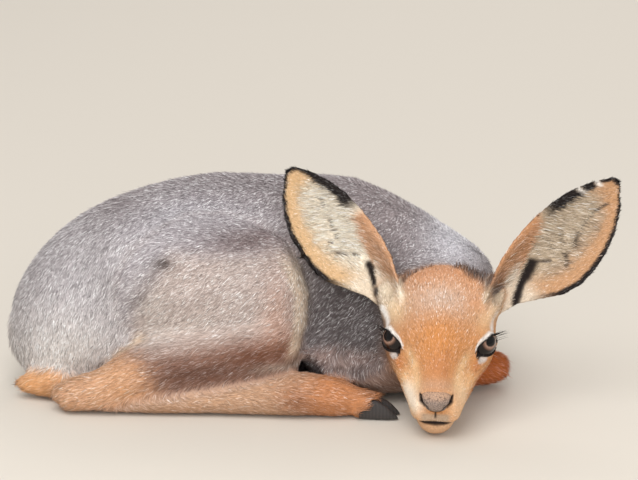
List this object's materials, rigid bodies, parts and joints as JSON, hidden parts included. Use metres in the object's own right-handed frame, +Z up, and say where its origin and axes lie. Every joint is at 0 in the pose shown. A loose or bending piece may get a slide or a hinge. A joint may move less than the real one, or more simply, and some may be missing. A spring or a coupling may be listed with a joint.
{
  "type": "beira antelope calf",
  "caption": "Life-size still model of a newborn dwarf antelope calf lying curled with its chin on the floor, large ears raised and one hind leg stretched along its side.",
  "frame": {"origin": "middle of the bounding box at floor level", "axes": "+X from the rump along the trunk to the head end, -Y the way the face looks, +Z up"},
  "size_m": [0.3498, 0.173, 0.1416],
  "materials": {
    "grey_coat": "short dense grizzled grey fur, matt",
    "flank_coat": "short pinkish grey-brown fur, matt",
    "rufous_coat": "short orange-brown fur, matt",
    "fawn_coat": "short fawn fur, matt",
    "pale_coat": "pale cream-orange fur, matt",
    "nose": "bare moist grained skin, satin",
    "horn": "black horn, satin",
    "eye": "dark brown eye, wet gloss"
  },
  "bodies": {
    "root": {"eye_right": "eye", "ear_right": "pale_coat", "eye_left": "eye", "ear_left": "pale_coat", "right_hind_hoof_outer": "horn", "right_hind_hoof_inner": "horn", "left_hind_hoof_outer": "horn", "left_hind_hoof_inner": "horn", "right_fore_hoof_outer": "horn", "right_fore_hoof_inner": "horn", "left_fore_hoof_outer": "horn", "left_fore_hoof_inner": "horn", "right_hind_pastern": "rufous_coat", "right_hind_cannon": "rufous_coat", "right_shank": "fawn_coat", "left_hind_cannon": "rufous_coat", "left_shank": "fawn_coat", "right_forearm": "fawn_coat", "right_fore_cannon": "rufous_coat", "left_forearm": "fawn_coat", "left_fore_cannon": "rufous_coat", "tail": "grey_coat", "nose_pad": "nose", "lower_jaw": "pale_coat", "head": "rufous_coat", "right_thigh": "flank_coat", "left_thigh": "flank_coat", "neck": "grey_coat", "chest": "grey_coat", "loin": "grey_coat", "rump": "grey_coat"}
  },
  "joints": []
}
